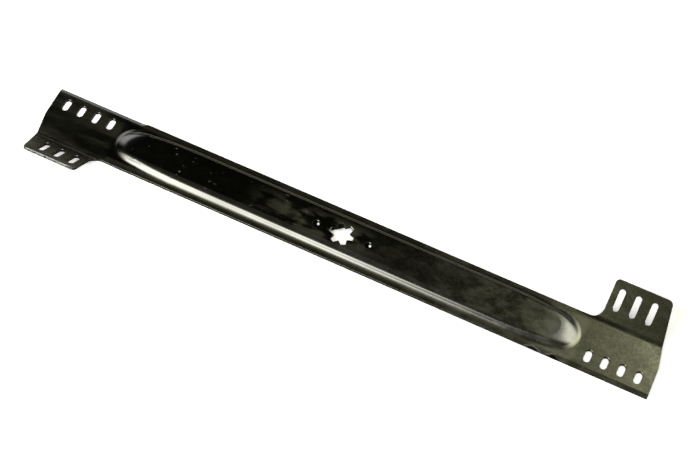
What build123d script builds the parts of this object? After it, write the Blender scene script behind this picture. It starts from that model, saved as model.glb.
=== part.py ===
from build123d import *
from math import atan2, cos, radians, sin, sqrt, tan
import os

# Pressed steel mower blade, one sheet. The origin is on the spindle axis at the underside,
# X runs along the blade, Z is up. The two halves are the same, half a turn apart.

# Sheet and bar
sheet = 3.2
blade_length = 756.0
bar_width = 68.0

# Raised rib pressed up along the middle of the bar
rib_height = 5.0
rib_flange_width = 7.5
rib_wall_run = 5.0
rib_setback = 93.0
rib_nose_run = 22.0
rib_taper_length = 90.0
rib_nose_angle = 78.0
rib_crown_angle = 84.0
rib_shoulder_radius = 6.0
rib_foot_radius = 10.0
rib_shoulder_steps = 4

# Wing bent up behind each cutting edge
wing_angle = 36.5
wing_bend_inset = 4.0
wing_bend_radius = 12.0
wing_fade_length = 16.0
wing_reach = 52.5
wing_length = 66.0
wing_tip_setback = 14.4
wing_root_radius = 11.5
wing_outer_radius = 6.0
wing_inner_radius = 5.0

# End edge of the blade, straight at first and then slanted inwards
end_break_setback = 1.1
end_break_offset = 5.7
end_break_radius = 25.0
tip_corner_radius = 1.0

# Cutting edge ground into the top of the sheet
bevel_length = 105.0
bevel_width = 5.0
bevel_drop = 2.6
bevel_wheel_radius = 8.0

# Short slots in the flat end
tip_slot_count = 4
tip_slot_pitch = 19.4
tip_slot_length = 15.5
tip_slot_width = 7.6
tip_slot_setback = 17.4
tip_slot_inset = 19.0

# Long slots in the wing
wing_slot_count = 3
wing_slot_pitch = 19.0
wing_slot_length = 25.8
wing_slot_width = 7.0
wing_slot_setback = 31.0
wing_slot_inset = 22.3

# Star for the spindle and the two round holes beside it
star_points = 6
star_tip_radius = 13.8
star_notch_radius = 9.0
star_tip_width = 5.2
hub_hole_diameter = 7.5
hub_hole_spacing = 64.0

# Rounding of the top edges, where the tool draws the sheet in as it cuts
edge_roll = 0.5

half_length = blade_length / 2
half_width = bar_width / 2
rib_top = sheet + rib_height
bend_line = half_width - wing_bend_inset


def wing_run():
    """Flat length of the wing, from the end of the bend to the trailing edge."""
    return wing_reach - radians(wing_angle) * wing_bend_radius


def wing_plane():
    """Plane of the wing's top face, with its origin where the bend ends and Y up the slope."""
    turn = radians(wing_angle)
    origin = (0, bend_line + wing_bend_radius * sin(turn), sheet + wing_bend_radius * (1 - cos(turn)))
    return Plane(origin=origin, x_dir=(1, 0, 0), z_dir=(0, -sin(turn), cos(turn)))


def wing_corner(x):
    """Middle of the sheet's edge where the wing's trailing edge passes x."""
    return wing_plane().from_local_coords(Vector(x, wing_run(), -sheet / 2))


def strip_section():
    """Cross-section of the bar and the wing: a flat, a bend and a slope of even thickness."""
    centre = (bend_line, sheet + wing_bend_radius)
    inner_bend = CenterArc(centre, wing_bend_radius, -90, wing_angle)
    outer_bend = CenterArc(centre, wing_bend_radius + sheet, -90, wing_angle)
    inner_slope = PolarLine(inner_bend @ 1, wing_run(), wing_angle)
    outer_slope = PolarLine(outer_bend @ 1, wing_run(), wing_angle)
    trailing_edge = Line(inner_slope @ 1, outer_slope @ 1)
    flat = Polyline(outer_bend @ 0, (-half_width, 0), (-half_width, sheet), inner_bend @ 0)
    return make_face([inner_bend, inner_slope, trailing_edge, outer_slope, outer_bend, *flat.edges()])


def edge_section():
    """Cross-section of the bar's edge strip where it is still flat, outside the bend line."""
    return Pos(bend_line, 0) * Rectangle(wing_bend_inset, sheet, align=Align.MIN)


def half_strip():
    """One half before trimming: a flat bar whose edge rises into the bend beside the wing's root."""
    root = half_length - wing_tip_setback - wing_length - wing_root_radius
    flat_end = root - wing_fade_length
    bar = Pos(0, -half_width) * Box(root, half_width + bend_line, sheet, align=Align.MIN)
    edge = extrude(Plane.YZ * edge_section(), flat_end)
    lip = strip_section() & Pos(bend_line, 0) * Rectangle(wing_bend_inset, rib_top, align=Align.MIN)
    fade = loft([Plane.YZ.offset(flat_end) * edge_section(), Plane.YZ.offset(root) * lip], ruled=True)
    bent = extrude(Plane.YZ.offset(root) * strip_section(), half_length - root)
    return bar + edge + fade + bent


def half_plan():
    """Outline of one half seen from above, carried a little past the wing's trailing edge."""
    wing_outer = half_length - wing_tip_setback
    wing_inner = wing_outer - wing_length
    trailing = wing_plane().from_local_coords(Vector(0, wing_run(), 0)).Y
    end_break = Vector(half_length - end_break_setback, end_break_offset)
    slant = Vector(wing_outer, trailing) - end_break
    past = end_break + slant * (1 + sheet / slant.Y)
    tip_corner = Vector(half_length, -half_width)
    root = Vector(wing_inner, half_width)
    plan = Polygon(
        (0, -half_width), tip_corner, end_break, past, (wing_inner, past.Y), root, (0, half_width),
        align=None,
    )
    rounds = ((tip_corner, tip_corner_radius), (end_break, end_break_radius), (root, wing_root_radius))
    for corner, radius in rounds:
        plan = fillet(plan.vertices().sort_by_distance(corner)[0], radius)
    return plan


def outline_rim(body):
    """Edges that bound the top side of one half, without the seam to the other half."""
    lean = Vector(0, 0, 1).rotate(Axis.X, wing_angle / 2)
    top = body.faces().filter_by(lambda face: face.normal_at().get_angle(lean) < wing_angle)
    edges = ShapeList(edge for face in top for edge in face.edges())
    return edges.filter_by(lambda edge: edges.count(edge) == 1 and edge.center().X > sheet)


def half_sheet():
    """One half of the sheet, bent and trimmed, with rounded wing corners and a rolled outline."""
    strip = half_strip()
    trimmed = strip & extrude(half_plan(), strip.bounding_box().max.Z)
    wing_outer = half_length - wing_tip_setback
    for x, radius in ((wing_outer, wing_outer_radius), (wing_outer - wing_length, wing_inner_radius)):
        trimmed = fillet(trimmed.edges().sort_by_distance(wing_corner(x))[0], radius)
    return fillet(outline_rim(trimmed), edge_roll)


def rib_outline(width, nose, height, level):
    """Outline at one height of the rib: straight sides, long flank arcs and a round nose at each end."""
    straight = half_length - rib_setback - rib_taper_length
    nose_angle = rib_nose_angle + (rib_crown_angle - rib_nose_angle) * height / rib_height
    turn = radians(nose_angle)
    bulge = (1 - cos(turn)) / sin(turn)
    flank_radius = (nose - straight - width * bulge) / (cos(turn) - (1 - sin(turn)) * bulge)
    nose_radius = (width - flank_radius * (1 - sin(turn))) / sin(turn)
    flank_turn = 90 - nose_angle
    low_flank = CenterArc((straight, flank_radius - width), flank_radius, -90, flank_turn)
    nose_arc = CenterArc((nose - nose_radius, 0), nose_radius, -nose_angle, 2 * nose_angle)
    high_flank = CenterArc((straight, width - flank_radius), flank_radius, nose_angle, flank_turn)
    right_end = [low_flank, nose_arc, high_flank]
    left_end = [Rotation(0, 0, 180) * arc for arc in right_end]
    sides = [Line(high_flank @ 1, left_end[0] @ 0), Line(left_end[2] @ 1, low_flank @ 0)]
    return Pos(0, 0, level + height) * make_face([*right_end, sides[0], *left_end, sides[1]])


def rib_steps(depth):
    """Heights up the rib's skin, each with the inset of the side walls and of the noses."""
    wall_angle = atan2(rib_height, rib_wall_run)
    shoulder = rib_shoulder_radius - depth
    turns = [wall_angle * (1 - i / rib_shoulder_steps) for i in range(rib_shoulder_steps + 1)]
    on_shoulder = [rib_height - shoulder * (1 - cos(turn)) for turn in turns]
    skin_run = rib_wall_run + depth * tan(wall_angle / 2) + shoulder * tan(wall_angle / 2)
    sides = [skin_run - shoulder * sin(turn) for turn in turns]
    foot = depth * tan(wall_angle / 2)
    heights = [0, on_shoulder[0] / 2, *on_shoulder]
    sides = [foot, (foot + sides[0]) / 2, *sides]
    arc = (rib_nose_run**2 + rib_height**2) / (2 * rib_height) - depth
    noses = [rib_nose_run - sqrt(arc**2 - (arc - rib_height + height) ** 2) for height in heights]
    return zip(heights, sides, noses)


def rib_form(level, depth):
    """Solid with the rib's form, its foot at the level given and its skin set in by the depth."""
    foot_width = half_width - rib_flange_width
    foot_nose = half_length - rib_setback
    return loft([
        rib_outline(foot_width - side, foot_nose - nose, height, level)
        for height, side, nose in rib_steps(depth)
    ])


def rib_rim(body, level):
    """Edges of the rib's foot on the flat face at the level given."""
    reach = half_length - rib_setback + sheet
    flat = body.edges().filter_by_position(Axis.Z, level, level)
    return flat.filter_by_position(Axis.X, -reach, reach).filter_by(
        lambda edge: abs(edge.center().Y) < half_width - sheet / 2 and abs(edge.center().X) < reach
    )


def raise_rib(body):
    """Press the rib up from the sheet, at an even thickness, with rounded shoulders and foot."""
    body = body + rib_form(sheet, 0)
    body = fillet(rib_rim(body, sheet), rib_foot_radius)
    body = body - rib_form(0, sheet)
    return fillet(rib_rim(body, 0), rib_foot_radius + sheet)


def bevel_cut():
    """Wedge ground off the leading edge, curving out of the sheet where the wheel leaves it."""
    start = half_length - bevel_length
    section = Polygon(
        (-half_width, sheet - bevel_drop), (bevel_width - half_width, sheet),
        (bevel_width - half_width, rib_top), (-half_width, rib_top),
        align=None,
    )
    wedge = Plane.YZ.offset(start) * section
    wheel_axis = Axis((start, -half_width - bevel_wheel_radius, 0), (0, 0, 1))
    return extrude(wedge, bevel_length) + revolve(wedge, wheel_axis, 90)


def punch(outline, flared):
    """Cutters for a hole punched down from the outline's plane, flared a little at the top."""
    return [extrude(outline, -sheet), loft([Pos(0, 0, -edge_roll) * outline, flared], ruled=True)]


def tip_slots():
    """Row of short slots across the flat end."""
    slot = SlotOverall(tip_slot_length, tip_slot_width, rotation=90)
    first = half_length - tip_slot_setback
    places = [Pos(first - i * tip_slot_pitch, tip_slot_inset - half_width, sheet) for i in range(tip_slot_count)]
    return [place * cut for place in places for cut in punch(slot, offset(slot, edge_roll))]


def wing_slots():
    """Row of long slots square to the wing's face."""
    slot = SlotOverall(wing_slot_length, wing_slot_width, rotation=90)
    first = half_length - wing_slot_setback
    height = wing_run() - wing_slot_inset
    places = [Pos(first - i * wing_slot_pitch, height) for i in range(wing_slot_count)]
    return [wing_plane() * place * cut for place in places for cut in punch(slot, offset(slot, edge_roll))]


def star_hole():
    """Star through the rib's top: blunt points on even spokes, with a notch between each pair."""
    spoke = 360 / star_points
    notch = Vector(star_notch_radius, 0).rotate(Axis.Z, spoke / 2)
    corners = (Vector(star_tip_radius, -star_tip_width / 2), Vector(star_tip_radius, star_tip_width / 2), notch)
    corners = [corner.rotate(Axis.Z, i * spoke) for i in range(star_points) for corner in corners]
    star = Polygon(*corners, align=None)
    flared = scale(star, 1 + edge_roll / star_notch_radius)
    return [Pos(0, 0, rib_top) * cut for cut in punch(star, flared)]


def hub_holes():
    """Two round holes beside the star, in line with the blade."""
    hole = Circle(hub_hole_diameter / 2)
    places = [Pos(side * hub_hole_spacing / 2, 0, rib_top) for side in (-1, 1)]
    return [place * cut for place in places for cut in punch(hole, offset(hole, edge_roll))]


def blade():
    """The whole blade: both halves, the rib, the ground edges and every punched hole."""
    opposite = Rotation(0, 0, 180)
    half = half_sheet()
    body = raise_rib(half + opposite * half)
    half_cuts = [bevel_cut(), *tip_slots(), *wing_slots()]
    cuts = [*half_cuts, *(opposite * cut for cut in half_cuts), *star_hole(), *hub_holes()]
    return body - cuts


os.makedirs("parts", exist_ok=True)
export_step(blade(), "parts/blade.step")
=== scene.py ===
from math import cos, pi, radians, sin

import bpy
import numpy as np
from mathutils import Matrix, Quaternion, Vector

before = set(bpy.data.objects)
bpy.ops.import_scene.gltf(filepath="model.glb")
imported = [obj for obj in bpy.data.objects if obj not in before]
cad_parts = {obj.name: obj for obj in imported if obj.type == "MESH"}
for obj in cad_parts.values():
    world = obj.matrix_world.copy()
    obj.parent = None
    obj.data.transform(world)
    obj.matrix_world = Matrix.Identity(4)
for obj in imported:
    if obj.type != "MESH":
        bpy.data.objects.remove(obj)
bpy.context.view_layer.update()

# %% [markdown]
# A mower blade is one strip of steel, punched, pressed and bent, dipped in a thin dark lacquer and last
# of all ground to an edge. The CAD solid already has the whole form, so nothing is modelled again here:
# the work of this file is the light and the finish. Dark glossy metal shows little colour of its own.
# What the eye reads is what it mirrors, so the lamps come first and the finish is tuned under them.

# %% The blade and its sizes, in metres
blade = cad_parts["blade"]
sheet = 0.0032
half_width = 0.034
rib_top = 0.0082

# %% [markdown]
# The camera stands in front of the blade and a little to the right, looking down at it from about two
# metres with a long lens. The photograph was taken with the camera rolled by a few degrees, so the same
# roll is kept. The lens is written as a focal length in pixels, because that is what a photograph
# gives, and turned into Blender's millimetres on a 36 mm sensor.

# %% Camera
photo_width = 700
sensor_mm = 36.0
focal_px = 1796.0
centre_right_px = -8.2
centre_down_px = 2.8
view_azimuth = radians(20.91)
view_elevation = radians(58.34)
view_roll = radians(5.39)
view_distance = 2.0064
aim = Vector((0, 0, sheet))


def direction(azimuth, elevation):
    """Unit vector from the blade: azimuth 0 points to the front, -Y, and turns towards +X."""
    flat = cos(elevation)
    return Vector((sin(azimuth) * flat, -cos(azimuth) * flat, sin(elevation)))


lens = bpy.data.cameras.new("camera")
lens.sensor_width = sensor_mm
lens.lens = focal_px / photo_width * lens.sensor_width
lens.shift_x = -centre_right_px / photo_width
lens.shift_y = centre_down_px / photo_width
camera = bpy.data.objects.new("camera", lens)
bpy.context.scene.collection.objects.link(camera)
bpy.context.scene.camera = camera
back = direction(view_azimuth, view_elevation)
camera.location = aim + back * view_distance
camera.rotation_mode = "QUATERNION"
camera.rotation_quaternion = (-back).to_track_quat("-Z", "Y") @ Quaternion((0, 0, 1), view_roll)
bpy.context.scene.view_settings.view_transform = "Standard"
print("camera lens", round(lens.lens, 1), "mm")

# %% [markdown]
# Shader maths reads best as arithmetic. `Value` wraps one output of a node, and its operators add Math
# nodes, so `1 - mask` is a node as well as a sum. Every other node comes from `Tree.node`: first the
# node's own settings, then the values or links of its sockets. A Mix node has sockets of the same name
# for each kind of data, so those for colours are called by their numbers.

# %% Shader arithmetic
mix_low = 6
mix_high = 7
mix_result = 2


class Value:
    """One output socket that can be used in sums. Each operator adds a Math node to the same tree."""

    def __init__(self, tree, socket):
        self.tree = tree
        self.socket = socket

    def math(self, operation, *others):
        settings = {"operation": operation}
        return self.tree.node("Math", settings, dict(enumerate((self, *others))))

    def __add__(self, other):
        return self.math("ADD", other)

    def __mul__(self, other):
        return self.math("MULTIPLY", other)

    def __sub__(self, other):
        return self.math("SUBTRACT", other)

    def __rsub__(self, other):
        return self.tree.node("Math", {"operation": "SUBTRACT"}, {0: other, 1: self})

    def __abs__(self):
        return self.math("ABSOLUTE")

    __radd__ = __add__
    __rmul__ = __mul__

    def ramp(self, low, high):
        """0 below low, 1 above high and a smooth rise between; low above high turns it round."""
        settings = {"interpolation_type": "SMOOTHSTEP"}
        if low < high:
            return self.tree.node("MapRange", settings, {"Value": self, "From Min": low, "From Max": high})
        return 1 - self.ramp(high, low)


class Tree:
    """The node tree of a material, a lamp or the world, with one method that adds any node."""

    def __init__(self, owner):
        owner.use_nodes = True
        self.nodes = owner.node_tree.nodes
        self.links = owner.node_tree.links
        self.nodes.clear()

    def node(self, kind, settings=None, inputs=None, output=0):
        """Adds a shader node, sets it up, fills its sockets and gives back the output asked for."""
        made = self.nodes.new("ShaderNode" + kind)
        for name, value in (settings or {}).items():
            setattr(made, name, value)
        for name, value in (inputs or {}).items():
            if isinstance(value, Value):
                self.links.new(value.socket, made.inputs[name])
            else:
                made.inputs[name].default_value = value
        return Value(self, made.outputs[output]) if made.outputs else made

    def blend(self, factor, low, high):
        """Colour between two colours: low where the factor is 0, high where it is 1."""
        inputs = {"Factor": factor, mix_low: low, mix_high: high}
        return self.node("Mix", {"data_type": "RGBA"}, inputs, output=mix_result)

    def cloud(self, point, size, stretch=(1, 1, 1), turn=0.0, detail=3.0):
        """Cloudy pattern from 0 to 1, its blotches about this size and longer where stretch is larger."""
        scale = [1 / (size * longer) for longer in stretch]
        inputs = {"Vector": point, "Rotation": (0, 0, turn), "Scale": scale}
        placed = self.node("Mapping", {"vector_type": "POINT"}, inputs)
        return self.node("TexNoise", inputs={"Vector": placed, "Scale": 1.0, "Detail": detail})


print("shader arithmetic ready")

# %% [markdown]
# The blade lies on white paper. A real photographer sweeps the paper up behind the object so that no
# horizon shows. Here the floor is a shallow bowl, the same from every side: flat under the blade, then
# a quarter circle up to a low rim. A plane would do for one view, but the bowl also serves the views
# from the back and the sides. It is a surface of revolution, so its grid needs only a radius and a
# height.

# %% White paper bowl
flat_rings = (0.02, 1.0, 2.5)
floor_radius = 5.0
rim_radius = 0.4
ring_count = 24
spoke_count = 96


def paper_bowl():
    """Grid of the bowl: x = r cos a, y = r sin a and z = h, for each ring and each angle a.

    On the floor h = 0. On the rim r = floor_radius + rim_radius sin t and h = rim_radius (1 - cos t),
    with t from 0 to a quarter turn.
    """
    turn = np.linspace(0, pi / 2, ring_count)
    reach = np.concatenate([flat_rings, floor_radius + rim_radius * np.sin(turn)])
    height = np.concatenate([np.zeros(len(flat_rings)), rim_radius * (1 - np.cos(turn))])
    angle = np.linspace(0, 2 * pi, spoke_count, endpoint=False)
    level = np.outer(height, np.ones(spoke_count))
    return np.stack([np.outer(reach, np.cos(angle)), np.outer(reach, np.sin(angle)), level], axis=-1)


def grid_mesh(name, points):
    """Mesh of quads over a grid of rings, point (ring, spoke) at index ring * columns + spoke.

    The last spoke joins the first one, and the first ring is filled in.
    """
    rows, columns = points.shape[:2]
    ring, spoke = np.meshgrid(np.arange(rows - 1), np.arange(columns), indexing="ij")
    after = (spoke + 1) % columns
    corner_ring = np.stack([ring, ring, ring + 1, ring + 1], -1)
    quads = corner_ring * columns + np.stack([after, spoke, spoke, after], -1)
    mesh = bpy.data.meshes.new(name)
    faces = [*quads.reshape(-1, 4).tolist(), list(range(columns))]
    mesh.from_pydata(points.reshape(-1, 3).tolist(), [], faces)
    mesh.shade_smooth()
    return mesh


paper = bpy.data.objects.new("paper", grid_mesh("paper", paper_bowl()))
bpy.context.scene.collection.objects.link(paper)
print("paper", len(paper.data.polygons), "faces")

# %% [markdown]
# In a bright product photograph white paper is at the very top of the scale, also where it shows
# through the slots and the star. Lighting it that far would burn out the blade's pale edges. So the
# paper answers each kind of ray in its own way: to the camera it is brighter and glows a little, to the
# blade's mirror it is plain paper with a painted shade close beside and under the blade, and far out it
# only glows. The blade's real shadow stays, but faint.

# %% Paper finish
white = (1, 1, 1, 1)
paper_bright = (1.4, 1.4, 1.39, 1)
paper_plain = (0.42, 0.42, 0.41, 1)
# Painted shade colour for the paper under and beside the blade, in mirrors and to the camera.
paper_painted_shade = (0.1, 0.1, 0.095, 1)
half_length = 0.378
shade_reach = 0.05
camera_glow = 0.4
mirror_glow = 0.8
glow_start = 0.6
glow_full = 1.4


def mirrored_paper_painted_shade(tree, point):
    """Colour of the paper in a mirror: a painted shade under the blade, plain from shade_reach beside it.
    """
    along = abs(tree.node("SeparateXYZ", inputs={0: point}, output="X"))
    across = abs(tree.node("SeparateXYZ", inputs={0: point}, output="Y"))
    # Close to the blade the mirrored paper takes a painted shade, not a cast one.
    beside = (along - half_length).math("MAXIMUM", across - half_width).ramp(0.0, shade_reach)
    return tree.blend(beside, paper_painted_shade, paper_plain)


print("mirrored paper ready")

# %% [markdown]
# Under the rib the paper's colour for the camera is a painted shade, apart from painted light below the
# holes. Below the wide star most of the paper is left bright, but the painted shade also covers the
# star's far left points. Below each round hole a small painted spot of light glows, pushed back as the
# slope of the lamps' light would push it.

# %% Painted light and shade below the holes
hollow_half_length = 0.27
hollow_half_width = 0.02
lit_radius = 0.02
shade_turn = radians(39.6)
shade_from = 0.0122
shade_blur = 0.0012
hole_spacing = 0.064
spot_right = 0.0013
spot_behind = 0.0047
spot_radius = 0.0023


def painted_shade_below(tree, point, distance):
    """Painted shade: 1 under the rib, 0 outside it and below the star, apart from the star's far left side.
    """
    x = tree.node("SeparateXYZ", inputs={0: point}, output="X")
    y = tree.node("SeparateXYZ", inputs={0: point}, output="Y")
    hollow_painted_shade = abs(x).ramp(hollow_half_length, hollow_half_length - sheet)
    hollow_painted_shade = hollow_painted_shade * abs(y).ramp(hollow_half_width + sheet, hollow_half_width)
    far_left = y * cos(shade_turn) - x * sin(shade_turn)
    beyond_star = distance.ramp(lit_radius, lit_radius + sheet)
    return hollow_painted_shade * beyond_star.math("MAXIMUM", far_left.ramp(shade_from - shade_blur, shade_from))


def camera_glow_with_painted_spots(tree, point, hollow_painted_shade):
    """Strength of the camera's glow: none under the rib, apart from painted spots of light below the two
    holes.
    """
    glow = camera_glow * (1 - hollow_painted_shade)
    # Each spot is painted light: a glow on the paper below one round hole.
    for side in (-1, 1):
        painted_spot = (side * hole_spacing / 2 + spot_right, spot_behind, 0)
        away = tree.node("VectorMath", {"operation": "DISTANCE"}, {0: point, 1: painted_spot}, output="Value")
        glow = glow + away.ramp(spot_radius, spot_radius / 2)
    return glow


def paper_finish():
    """Diffuse paper with painted shade and spots under the rib, brighter to the camera than to lamps and
    mirrors, and a white glow far out.
    """
    material = bpy.data.materials.new("paper")
    tree = Tree(material)
    seen = tree.node("LightPath", output="Is Camera Ray")
    seen = seen + tree.node("LightPath", output="Is Transmission Ray")
    mirrored = tree.node("LightPath", output="Is Glossy Ray") * mirror_glow
    point = tree.node("TexCoord", output="Object")
    distance = tree.node("VectorMath", {"operation": "LENGTH"}, {0: point}, output="Value")
    hollow_painted_shade = painted_shade_below(tree, point, distance)
    # To the camera the paper under the rib takes the painted shade colour.
    seen_colour_with_painted_shade = tree.blend(hollow_painted_shade, paper_bright, paper_painted_shade)
    colour = tree.blend(seen, mirrored_paper_painted_shade(tree, point), seen_colour_with_painted_shade)
    lit = tree.node("BsdfDiffuse", inputs={"Color": colour})
    # The camera's glow, with the painted spots of light below the holes.
    lift_with_painted_spots = seen * camera_glow_with_painted_spots(tree, point, hollow_painted_shade)
    near = tree.node("AddShader", inputs={0: lit, 1: tree.node("Emission", inputs={"Strength": lift_with_painted_spots})})
    glow = tree.node("Emission", inputs={"Color": white, "Strength": seen + mirrored})
    surface = tree.node("MixShader", inputs={0: distance.ramp(glow_start, glow_full), 1: near, 2: glow})
    tree.node("OutputMaterial", inputs={"Surface": surface})
    return material


paper.data.materials.append(paper_finish())
print("paper finish ready")

# %% [markdown]
# Three soft boxes make the picture. The large one at the front left is mirrored in the rib's near wall
# as a white band that fades towards the right end. The one at the back right is mirrored in the right
# nose of the rib and greys the flat right end. A dim, cool one at the back left shows only in the left
# nose. Between them the room above the blade is dark, and so is the left half of the rib. A lamp's
# power follows from how bright its face should look: power = pi * area * radiance.

# %% Soft boxes
face_middle = 0.5


def soft_box(name, azimuth, elevation, distance, width, height, radiance, core, tint):
    """Rectangular lamp facing the blade, even over its core and fading from there to its rim."""
    lamp = bpy.data.lights.new(name, "AREA")
    lamp.shape = "RECTANGLE"
    lamp.size = width
    lamp.size_y = height
    lamp.energy = pi * width * height * radiance
    lamp.color = tint
    tree = Tree(lamp)
    face = tree.node("NewGeometry", output="Parametric")
    fade = 1
    for axis in "XY":
        offset = abs(tree.node("SeparateXYZ", inputs={0: face}, output=axis) - face_middle)
        fade = fade * offset.ramp(face_middle, core * face_middle)
    tree.node("OutputLight", inputs={0: tree.node("Emission", inputs={"Strength": fade})})
    box = bpy.data.objects.new(name, lamp)
    bpy.context.scene.collection.objects.link(box)
    box.location = direction(radians(azimuth), radians(elevation)) * distance
    box.rotation_mode = "QUATERNION"
    box.rotation_quaternion = (-box.location).to_track_quat("-Z", "Y")
    box.visible_camera = False
    print(name, "power", round(lamp.energy, 1), "W")


soft_box(
    "front_left_box", azimuth=-38, elevation=42, distance=1.7, width=1.96, height=1.6,
    radiance=5.0, core=0.34, tint=(1, 1, 0.98),
)
soft_box(
    "back_right_box", azimuth=132, elevation=48, distance=2.5, width=2.35, height=1.6,
    radiance=3.4, core=0.62, tint=(1, 1, 0.88),
)
soft_box(
    "left_box", azimuth=-126, elevation=26, distance=2.2, width=1.2, height=1.1,
    radiance=1.1, core=0.4, tint=(0.94, 0.93, 1),
)

# %% [markdown]
# The room itself is nearly dark, with a faint olive light from the front. The blade doesn't see it low
# down, because the paper's rim stands there and glows: mirrored in the rib's far shoulder, the rim
# becomes a fine bright line. The camera never sees the room: for it the background stays white.

# %% Room light
room_front = (0.08, 0.08, 0.045, 1)
room_dark = (0.004, 0.004, 0.003, 1)
front_start = 0.2
front_full = -0.5


def room_light(world):
    """Dim in front and dark elsewhere, by the direction looked in, but white to the camera."""
    tree = Tree(world)
    looked = tree.node("TexCoord", output="Generated")
    ahead = tree.node("SeparateXYZ", inputs={0: looked}, output="Y")
    room = tree.blend(ahead.ramp(front_start, front_full), room_dark, room_front)
    colour = tree.blend(tree.node("LightPath", output="Is Camera Ray"), room, white)
    surface = tree.node("Background", inputs={"Color": colour, "Strength": 1.0})
    tree.node("OutputWorld", inputs={"Surface": surface})


bpy.context.scene.world = bpy.data.worlds.new("room")
room_light(bpy.context.scene.world)
print("room light ready")

# %% [markdown]
# The blade is two equal halves, half a turn apart, so most of its finish is easiest to place in the
# coordinates of one half: how far along from the spindle, how far across towards the wing, and how deep
# below the top skin. Depth is what tells a punched edge from a face. It is the smaller of two heights,
# over the flat bar and over the sloping wing, turned round; on the rib's top around the holes it is
# measured from the rib instead. An image map could say the same, but it would have to be unwrapped and
# painted again for every change.

# %% Places on the blade
wing_angle = radians(36.5)
bend_radius = 0.012
bend_inset = 0.004
bend_line = half_width - bend_inset
bend_end_across = bend_line + bend_radius * sin(wing_angle)
bend_end_height = sheet + bend_radius * (1 - cos(wing_angle))
hub_half_length = 0.038
hub_half_width = 0.016
rib_end = 0.285
rib_foot = 0.026


class Place:
    """Where a point of the blade's surface is, as values for the shader."""

    def __init__(self, tree):
        self.point = tree.node("TexCoord", output="Object")
        parts = [tree.node("SeparateXYZ", inputs={0: self.point}, output=axis) for axis in "XYZ"]
        self.x, self.y, self.z = parts
        self.along = abs(self.x)
        self.flank = abs(self.y)
        self.across = self.y * self.x.math("SIGN")
        self.depth = self.below_skin()

    def below_skin(self):
        """Depth below the top skin, 0 on it and one sheet at the underside; raised places count as skin."""
        wing_rise = (self.z - bend_end_height) * cos(wing_angle)
        over_wing = wing_rise - (self.across - bend_end_across) * sin(wing_angle)
        over_bar = self.z - sheet
        hub = self.along.ramp(hub_half_length, hub_half_length - sheet)
        hub = hub * self.flank.ramp(hub_half_width, hub_half_width - sheet)
        rib = self.along.ramp(rib_end, rib_end - sheet) * self.flank.ramp(rib_foot, rib_foot - sheet)
        plain = (0 - over_bar.math("MINIMUM", over_wing)) * (1 - rib)
        return plain + hub * (rib_top - self.z)


print("places ready")

# %% [markdown]
# Masks say where each treatment is, from 0 to 1. The first set follows the blade's own forms. The rib
# was drawn over a polished punch, so it is smooth. The narrow flanges beside it, the flat ends and the
# wings keep the dull skin of rolled sheet. The near wall and the tips of the rib are where the lamps
# mirror brightest; there the olive tint is left out so that those reflections stay neutral, which is
# painted light. The near wall has a shoulder above it and a foot below it, each with a mask of its own.

# %% Parts of the blade
rib_blur = 0.0064
raised_blur = 0.0008
near_wall = 0.0165
near_blur = 0.002
shoulder_start = 0.0135
shoulder_full = 0.0165
shoulder_end = 0.0225
shoulder_blur = 0.003
foot_start = 0.0245
foot_full = 0.0275
foot_end = 0.0315
foot_blur = 0.004
nose_start = 0.228
nose_full = 0.252
tip_start = 0.245
tip_full = 0.262
right_start = 0.0
right_full = 0.15


def part_masks(place):
    """Rib, flange, end, wing, right nose and half; near wall, shoulder and foot; the rib's brightly lit
    parts.
    """
    parts = {}
    parts["rib"] = place.along.ramp(rib_end + rib_blur, rib_end)
    parts["rib"] = parts["rib"] * place.flank.ramp(rib_foot + sheet, rib_foot)
    beside_rib = place.along.ramp(rib_end + sheet, rib_end - sheet)
    parts["flange"] = beside_rib * place.flank.ramp(rib_foot, rib_foot + sheet)
    parts["end"] = place.along.ramp(rib_end - sheet, rib_end + sheet)
    parts["wing"] = place.across.ramp(bend_line, bend_end_across)
    parts["nose"] = parts["rib"] * place.x.ramp(nose_start, nose_full)
    parts["right"] = place.x.ramp(right_start, right_full)
    raised = parts["rib"] * place.z.ramp(sheet, sheet + raised_blur)
    parts["near"] = raised * (0 - place.y).ramp(near_wall, near_wall + near_blur)
    shoulder = (0 - place.y).ramp(shoulder_start, shoulder_full) * (1 - parts["right"])
    parts["shoulder"] = raised * shoulder * (0 - place.y).ramp(shoulder_end, shoulder_end - shoulder_blur)
    foot = (0 - place.y).ramp(foot_start, foot_full) * (0 - place.y).ramp(foot_end, foot_end - foot_blur)
    parts["foot"] = beside_rib * foot
    # Where the lamps' reflections fall brightest; the colour leaves the tint out there as painted light.
    tip = raised * place.along.ramp(tip_start, tip_full)
    parts["clean"] = parts["near"].math("MAXIMUM", tip)
    return parts


print("part masks ready")

# %% [markdown]
# A punch leaves a rounded rim at the top of each cut and a torn, darker wall below it. The grinding
# wheel leaves the cutting edge bare, and along the wings' trailing edges the lacquer has chipped off in
# specks. Rims and walls are read from the depth below the skin, so they follow every slot and corner
# without being drawn one by one.

# %% Cut edges
ground_start = 0.264
ground_width = 0.0052
hair = 0.00004
skin_blur = 0.00016
rim_full = 0.0003
rim_end = 0.0007
wall_start = 0.0004
wall_full = 0.0008
chip_cloud = {"size": 0.004}
chip_range = (0.3, 0.6)
trailing_start = 0.0722
trailing_full = 0.0736
speck_cloud = {"size": 0.003}
speck_range = (0.4, 0.52)


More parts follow.
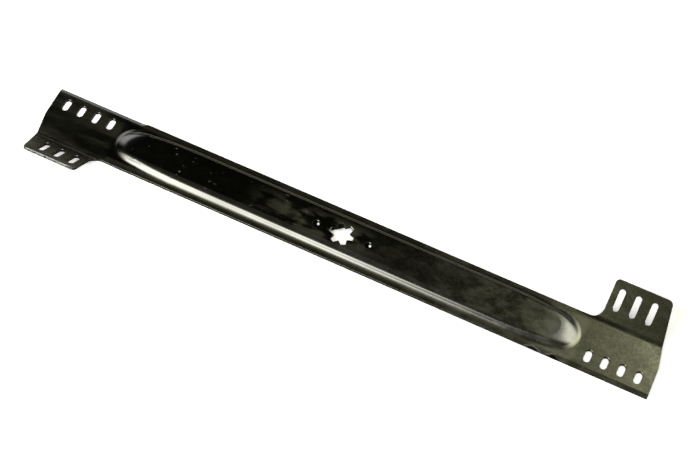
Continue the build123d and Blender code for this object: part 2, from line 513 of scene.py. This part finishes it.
def edge_masks(tree, place):
    """Rims, walls, the ground edge and the chipped trailing edge."""
    bevel = ground_width - half_width
    ground = place.across.ramp(bevel, bevel - hair) * place.along.ramp(ground_start, ground_start + sheet)
    ground = ground * place.depth.ramp(hair, skin_blur)
    chipped = tree.cloud(place.point, **chip_cloud).ramp(*chip_range)
    rim = place.depth.ramp(hair, skin_blur) * place.depth.ramp(rim_end, rim_full) * chipped
    wall = place.depth.ramp(wall_start, wall_full) * place.depth.ramp(sheet - hair, sheet - skin_blur)
    specks = tree.cloud(place.point, **speck_cloud).ramp(*speck_range)
    trailing = place.across.ramp(trailing_start, trailing_full) * specks
    return {"rim": rim * (1 - ground), "wall": wall * (1 - ground), "ground": ground, "trailing": trailing}


print("edge masks ready")

# %% [markdown]
# Dust and dried oil lie on the blade in clouds: fine grain everywhere, larger mottling, slanting
# streaks on the flat ends, and an olive haze around the star, where hands and a washer have been. Noise
# textures give them all, each with its own size and stretch, because nothing on a dipped part ends
# along a ruled line.

# %% Clouds of film
grain_cloud = {"size": 0.0035}
grain_range = (0.3, 0.7)
mottle_cloud = {"size": 0.012, "stretch": (1.6, 1, 1), "detail": 6.0}
mottle_range = (0.35, 0.68)
streak_cloud = {"size": 0.014, "stretch": (4, 1, 1), "turn": -0.5, "detail": 4.0}
streak_range = (0.4, 0.65)
haze_cloud = {"size": 0.012, "stretch": (2.5, 1, 1), "detail": 5.0}
haze_range = (0.44, 0.6)
haze_middle = -0.03
haze_reach = (0.1, 0.02)
haze_width = (0.022, 0.007)


def film_masks(tree, place, parts):
    """Grain, mottling, streaks on the flat ends and the haze around the star."""
    film = {}
    film["grain"] = tree.cloud(place.point, **grain_cloud).ramp(*grain_range)
    film["mottle"] = tree.cloud(place.point, **mottle_cloud).ramp(*mottle_range)
    film["streak"] = tree.cloud(place.point, **streak_cloud).ramp(*streak_range) * parts["end"]
    haze = abs(place.x - haze_middle).ramp(*haze_reach) * place.flank.ramp(*haze_width)
    film["haze"] = haze * tree.cloud(place.point, **haze_cloud).ramp(*haze_range)
    return film


print("film masks ready")

# %% [markdown]
# Handling has left marks: small bare scuffs on the left of the rib, fine lines along its near wall from
# the drawing die, and two nicks in the near edge of the right half. The nicks are at known places, so
# each is a lozenge around a point. The rest are noise again, cut off high so that only peaks remain.

# %% Marks of handling
line_cloud = {"size": 0.0009, "stretch": (400, 1, 1), "detail": 1.0}
line_range = (0.52, 0.66)
scuff_cloud = {"size": 0.0045, "stretch": (2, 1, 1), "turn": 0.3, "detail": 2.0}
scuff_range = (0.68, 0.76)
scuff_along = (0.05, -0.12)
scuff_across = (0.021, 0.017)
nick_places = (0.2445, 0.269)
nick_half_length = 0.009
nick_width = 0.004
nick_border = 2.0


def nick_mask(tree, place):
    """Two nicks in the near edge, each a lozenge with a broken border."""
    broken = tree.cloud(place.point, nick_width) * nick_width
    total = 0
    for x in nick_places:
        along = abs(place.x - x) * (nick_width / nick_half_length)
        reach = along + abs(place.y + half_width) + broken
        total = total + reach.ramp(nick_width * nick_border, nick_width)
    return total


def mark_masks(tree, place, parts):
    """Drawn lines, scuffs and nicks."""
    lines = tree.cloud(place.point, **line_cloud).ramp(*line_range) * parts["near"]
    scuff = tree.cloud(place.point, **scuff_cloud).ramp(*scuff_range)
    scuff = scuff * parts["rib"] * place.x.ramp(*scuff_along) * place.flank.ramp(*scuff_across)
    return {"lines": lines, "scuff": scuff, "nick": nick_mask(tree, place)}


print("mark masks ready")

# %% [markdown]
# The lacquer is thin and glossy over dark steel, so it is shaded as a dark metal rather than as black
# paint: its colour is how much it mirrors. It has a faint olive tint, apart from the near wall and tips
# of the rib, where it is left out as painted light so the bright reflections there stay neutral. Dry
# patches mirror less. Bare steel at rims, scuffs and chips mirrors more, and the torn walls hardly at all.

# %% Lacquer colour
lacquer_dark = (0.17, 0.17, 0.152, 1)
lacquer_light = (0.235, 0.235, 0.212, 1)
lacquer_olive = (0.2, 0.2, 0.13, 1)
lacquer_dry = (0.08, 0.08, 0.05, 1)
bare_steel = (0.42, 0.42, 0.4, 1)
ground_steel = (0.29, 0.29, 0.27, 1)
wall_dark = (0.045, 0.045, 0.04, 1)
tone_cloud = {"size": 0.05, "stretch": (2, 1, 1), "detail": 5.0}
tone_range = (0.3, 0.7)
olive_cover = 0.8
mottle_cover = 0.3
grain_cover = 0.5
wing_cover = 0.4
line_cover = 0.4
wall_cover = 0.9
rim_cover = 0.6
chip_cover = 0.9
scuff_cover = 0.6
nick_floor = (0.6, 0.9)
arch = 4.0


def dry_cover(parts, film, marks):
    """Share of dry lacquer: mottled off the rib, more on the wings, fine lines on the near wall."""
    flat = (1 - parts["rib"]) * (film["mottle"] * mottle_cover + film["grain"] * grain_cover)
    return flat + parts["wing"] * film["mottle"] * wing_cover + marks["lines"] * line_cover


def blade_colour(tree, place, parts, edges, film, marks):
    """Cloudy lacquer with dry patches, and over it the ground edge, torn walls, bare rims and marks.

    A nick's rim is arch * m * (1 - m) of its mask m: 0 inside and outside, 1 half way.
    """
    tone = tree.cloud(place.point, **tone_cloud).ramp(*tone_range)
    colour = tree.blend(tone, lacquer_dark, lacquer_light)
    # Painted light: no olive tint where the bright reflections fall, so they stay neutral.
    colour = tree.blend(olive_cover * (1 - parts["clean"]), colour, lacquer_olive)
    colour = tree.blend(dry_cover(parts, film, marks), colour, lacquer_dry)
    colour = tree.blend(edges["ground"], colour, ground_steel)
    colour = tree.blend(edges["wall"] * wall_cover, colour, wall_dark)
    colour = tree.blend(edges["rim"] * rim_cover, colour, bare_steel)
    nick_rim = arch * marks["nick"] * (1 - marks["nick"])
    colour = tree.blend(nick_rim, colour, bare_steel)
    colour = tree.blend(marks["nick"].ramp(*nick_floor), colour, wall_dark)
    colour = tree.blend(edges["trailing"] * chip_cover, colour, bare_steel)
    return tree.blend(marks["scuff"] * scuff_cover, colour, bare_steel)


print("lacquer colour ready")

# %% [markdown]
# Gloss decides how far a lamp's reflection spreads. On the rib it stays narrow, which keeps the left
# half black beside the white band. The band's borders are soft, so the near shoulder above it and the
# foot below it are duller than the wall between them. The flat ends are duller than the rib too, in
# streaks, and torn walls and scuffs are the dullest.

# %% Gloss
flat_rough = 0.19
rib_smooth = 0.05
streak_rough = 0.05
mottle_rough = 0.03
right_rough = 0.06
grain_rough = 0.03
nose_rough = 0.1
shoulder_rough = 0.15
foot_rough = 0.12
haze_rough = 0.1
wall_rough = 0.3
ground_smooth = 0.1
scuff_rough = 0.25


def blade_roughness(parts, edges, film, marks):
    """Smooth on the rib and the ground edge, duller elsewhere and most where it is torn or scuffed.

    On the rib itself the right nose and the borders of the white band are duller too.
    """
    plain = flat_rough - parts["rib"] * rib_smooth + parts["nose"] * nose_rough
    plain = plain + parts["shoulder"] * shoulder_rough + parts["foot"] * foot_rough
    cloudy = film["mottle"] * (mottle_rough + right_rough * parts["right"]) + film["grain"] * grain_rough
    worn = film["haze"] * haze_rough + edges["wall"] * wall_rough + marks["scuff"] * scuff_rough
    return plain + film["streak"] * streak_rough + cloudy + worn - edges["ground"] * ground_smooth


print("gloss ready")

# %% [markdown]
# A film of dust or oil isn't metal: it scatters light instead of mirroring it. A second shader mixed in
# would show that too, but lowering Metallic a little does the same with one shader, and the export can
# bake it.

# %% Film
flat_film = {"mottled": 0.03, "streaked": 0.09}
flange_film = {"even": 0.02, "mottled": 0.05, "grainy": 0.05}
right_film = {"even": 0.03, "mottled": 0.05, "grainy": 0.04}
wing_wiped = 0.7
haze_film = 0.21
scuff_film = 0.3


def film_amount(film, even=0.0, mottled=0.0, grainy=0.0, streaked=0.0):
    """Amount of film: an even part, and parts that follow the mottling, the grain and the streaks."""
    return even + mottled * film["mottle"] + grainy * film["grain"] + streaked * film["streak"]


def blade_metal(parts, film, marks):
    """Full metal on the rib's left half and right nose, a little less where film, haze or scuffs lie."""
    flat = (1 - parts["rib"]) * (1 - wing_wiped * parts["wing"]) * film_amount(film, **flat_film)
    flange = parts["flange"] * film_amount(film, **flange_film)
    right = parts["rib"] * parts["right"] * (1 - parts["nose"]) * film_amount(film, **right_film)
    dusty = (flat + flange + right) * (1 - marks["nick"])
    return 1 - dusty - film["haze"] * haze_film - marks["scuff"] * scuff_film


print("film ready")

# %% [markdown]
# A bump bends the reflections without changing the mesh. It has several sizes: long waves that the
# press leaves in the sheet, the lacquer's orange peel, fine scratches along and across, and the wheel's
# lines on the ground edge. Heights are real ones, in metres, so each looks as deep as it would be.

# %% Relief
wave_cloud = {"size": 0.03, "stretch": (3, 1, 1), "detail": 1.0}
wave_height = 0.00003
peel_cloud = {"size": 0.0012, "detail": 1.0}
peel_height = 0.000003
long_cloud = {"size": 0.0006, "stretch": (60, 1, 1), "turn": 0.02, "detail": 1.0}
long_range = (0.66, 0.74)
cross_cloud = {"size": 0.0006, "stretch": (40, 1, 1), "turn": 1.25, "detail": 1.0}
cross_range = (0.7, 0.76)
scratch_depth = 0.000004
wheel_cloud = {"size": 0.0004, "stretch": (1, 30, 1), "detail": 2.0}
wheel_height = 0.000006


def blade_bump(tree, place, edges):
    """Height in metres: long waves, orange peel, scratches along and across, and the wheel's lines."""
    waves = tree.cloud(place.point, **wave_cloud) * wave_height
    peel = tree.cloud(place.point, **peel_cloud) * peel_height
    scratches = tree.cloud(place.point, **long_cloud).ramp(*long_range)
    scratches = scratches + tree.cloud(place.point, **cross_cloud).ramp(*cross_range)
    wheel = tree.cloud(place.point, **wheel_cloud) * edges["ground"] * wheel_height
    height = waves + peel - scratches * scratch_depth + wheel
    return tree.node("Bump", inputs={"Strength": 1.0, "Distance": 1.0, "Height": height})


print("relief ready")

# %% [markdown]
# All of it comes together in one Principled shader in the slot that the solid already has. The solid
# itself stays as it is: its mesh, its place and its name.

# %% Blade finish


def blade_finish():
    """Dark lacquered steel for the whole blade."""
    material = bpy.data.materials.new("blade_steel")
    tree = Tree(material)
    place = Place(tree)
    parts = part_masks(place)
    edges = edge_masks(tree, place)
    film = film_masks(tree, place, parts)
    marks = mark_masks(tree, place, parts)
    inputs = {
        "Base Color": blade_colour(tree, place, parts, edges, film, marks),
        "Roughness": blade_roughness(parts, edges, film, marks),
        "Metallic": blade_metal(parts, film, marks),
        "Normal": blade_bump(tree, place, edges),
    }
    surface = tree.node("BsdfPrincipled", inputs=inputs)
    tree.node("OutputMaterial", inputs={"Surface": surface})
    return material


blade.material_slots[0].material = blade_finish()
print("blade finish ready")

# %% [markdown]
# Nothing was added to the blade, so the dressed blade has the same size as the bare solid.

# %% End
print("blade dressed")
